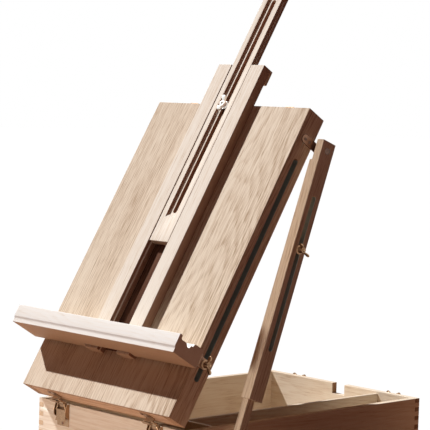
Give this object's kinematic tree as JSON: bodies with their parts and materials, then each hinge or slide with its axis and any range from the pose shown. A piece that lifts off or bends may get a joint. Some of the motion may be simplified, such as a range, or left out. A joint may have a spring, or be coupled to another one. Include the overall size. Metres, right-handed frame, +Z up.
{
  "type": "table box easel",
  "caption": "Wooden box whose hollow lid stands up as an easel, with a sliding mast between two rails, a sliding grooved ledge and telescoping side arms.",
  "frame": {"origin": "middle of the flat underside of the box", "axes": "+Z up, +X to the right of someone who stands in front of the easel, +Y to the back, away from them"},
  "size_m": [0.4586, 0.6404, 0.8882],
  "materials": {
    "lid_wood": "open-grained oak, thin matt varnish",
    "pale_wood": "fine-grained pale beech, planed smooth, matt varnish",
    "box_wood": "oak boards with finger joints, thin matt varnish",
    "brassed_steel": "pressed and plated, slightly tarnished",
    "dark_steel": "darkened, satin",
    "nickel": "bright plated"
  },
  "bodies": {
    "box": {"box_front": "box_wood", "box_back": "box_wood", "box_left": "box_wood", "box_right": "box_wood", "box_floor": "box_wood", "divider_long": "box_wood", "divider_cross": "box_wood", "hinge_plates": "brassed_steel", "hinge_screws": "dark_steel", "catch_plates": "brassed_steel", "catch_screws": "dark_steel", "catch_pins": "dark_steel", "handle_brackets": "dark_steel", "handle_screws": "nickel"},
    "lid": {"lid_front_skin": "lid_wood", "lid_back_skin": "lid_wood", "lid_side_left": "lid_wood", "lid_side_right": "lid_wood", "lid_top_rail": "lid_wood", "lid_bottom_rail": "lid_wood", "keepers": "brassed_steel", "keeper_screws": "dark_steel", "hinge_bails": "brassed_steel", "rail_left": "pale_wood", "rail_right": "pale_wood", "rail_bridge": "pale_wood", "bridge_screws": "dark_steel", "mast_bolt": "dark_steel", "strap_left": "dark_steel", "strap_right": "dark_steel", "strap_screws": "dark_steel", "arm_pins": "dark_steel"},
    "mast": {"mast": "pale_wood"},
    "mast_nut": {"mast_wing_nut": "nickel"},
    "ledge": {"ledge": "pale_wood", "ledge_bracket_left": "dark_steel", "ledge_bracket_right": "dark_steel", "bracket_screws": "nickel", "ledge_bolts": "dark_steel"},
    "handle": {"handle_wire": "dark_steel", "handle_grip": "box_wood"},
    "ledge_nut_left": {"ledge_wing_nut_left": "brassed_steel"},
    "upper_arm_left": {"upper_arm_left": "lid_wood"},
    "lower_arm_left": {"lower_arm_left": "lid_wood", "clamp_bolt_left": "dark_steel", "foot_pin_left": "dark_steel"},
    "arm_nut_left": {"arm_wing_nut_left": "brassed_steel"},
    "catch_lever_left": {"catch_lever_left": "brassed_steel"},
    "catch_bail_left": {"catch_bail_left": "brassed_steel"},
    "ledge_nut_right": {"ledge_wing_nut_right": "brassed_steel"},
    "upper_arm_right": {"upper_arm_right": "lid_wood"},
    "lower_arm_right": {"lower_arm_right": "lid_wood", "clamp_bolt_right": "dark_steel", "foot_pin_right": "dark_steel"},
    "arm_nut_right": {"arm_wing_nut_right": "brassed_steel"},
    "catch_lever_right": {"catch_lever_right": "brassed_steel"},
    "catch_bail_right": {"catch_bail_right": "brassed_steel"}
  },
  "joints": [
    {"name": "lid_tilt", "type": "hinge", "parent": "box", "child": "lid", "pos_m": [0, -0.2938, 0.1141], "axis": [1, 0, 0], "range_deg": [-59, 31]},
    {"name": "mast_slide", "type": "slide", "parent": "lid", "child": "mast", "axis": [0, 0.515, 0.8572], "range_m": [-0.213, 0.211]},
    {"name": "mast_nut_turn", "type": "hinge", "parent": "lid", "child": "mast_nut", "pos_m": [0, -0.04542, 0.6331], "axis": [0, -0.8572, 0.515], "continuous": true},
    {"name": "ledge_slide", "type": "slide", "parent": "lid", "child": "ledge", "axis": [0, 0.515, 0.8572], "range_m": [-0.025, 0.378]},
    {"name": "handle_swing", "type": "hinge", "parent": "box", "child": "handle", "pos_m": [0, 0.297, 0.088], "axis": [1, 0, 0], "range_deg": [0, 170]},
    {"name": "ledge_nut_turn_left", "type": "hinge", "parent": "ledge", "child": "ledge_nut_left", "pos_m": [-0.2, -0.25345, 0.21795], "axis": [-1, 0, 0], "continuous": true},
    {"name": "arm_fold_left", "type": "hinge", "parent": "lid", "child": "upper_arm_left", "pos_m": [-0.2, -0.00585, 0.56149], "axis": [1, 0, 0], "range_deg": [-4.8, 2.6]},
    {"name": "arm_slide_left", "type": "slide", "parent": "upper_arm_left", "child": "lower_arm_left", "axis": [0, -0.3428, -0.9394], "range_m": [-0.0877, 0.0462]},
    {"name": "arm_nut_turn_left", "type": "hinge", "parent": "lower_arm_left", "child": "arm_nut_left", "pos_m": [-0.22, -0.06553, 0.39794], "axis": [-1, 0, 0], "continuous": true},
    {"name": "catch_lever_swing_left", "type": "hinge", "parent": "box", "child": "catch_lever_left", "pos_m": [-0.121, 0.2945, 0.1085], "axis": [1, 0, 0], "range_deg": [0, 80]},
    {"name": "catch_bail_swing_left", "type": "hinge", "parent": "catch_lever_left", "child": "catch_bail_left", "pos_m": [-0.121, 0.2937, 0.0995], "axis": [1, 0, 0], "range_deg": [0, 100]},
    {"name": "ledge_nut_turn_right", "type": "hinge", "parent": "ledge", "child": "ledge_nut_right", "pos_m": [0.2, -0.25345, 0.21795], "axis": [1, 0, 0], "continuous": true},
    {"name": "arm_fold_right", "type": "hinge", "parent": "lid", "child": "upper_arm_right", "pos_m": [0.2, -0.00585, 0.56149], "axis": [1, 0, 0], "range_deg": [-4.8, 2.6]},
    {"name": "arm_slide_right", "type": "slide", "parent": "upper_arm_right", "child": "lower_arm_right", "axis": [0, -0.3428, -0.9394], "range_m": [-0.0877, 0.0462]},
    {"name": "arm_nut_turn_right", "type": "hinge", "parent": "lower_arm_right", "child": "arm_nut_right", "pos_m": [0.22, -0.06553, 0.39794], "axis": [1, 0, 0], "continuous": true},
    {"name": "catch_lever_swing_right", "type": "hinge", "parent": "box", "child": "catch_lever_right", "pos_m": [0.121, 0.2945, 0.1085], "axis": [1, 0, 0], "range_deg": [0, 80]},
    {"name": "catch_bail_swing_right", "type": "hinge", "parent": "catch_lever_right", "child": "catch_bail_right", "pos_m": [0.121, 0.2937, 0.0995], "axis": [1, 0, 0], "range_deg": [0, 100]}
  ],
  "couplings": [
    {"joint": "arm_fold_left", "follows": "lid_tilt", "ratio": 0.08},
    {"joint": "arm_slide_left", "follows": "lid_tilt", "m_per_rad": 0.085},
    {"joint": "arm_fold_right", "follows": "lid_tilt", "ratio": 0.08},
    {"joint": "arm_slide_right", "follows": "lid_tilt", "m_per_rad": 0.085}
  ]
}
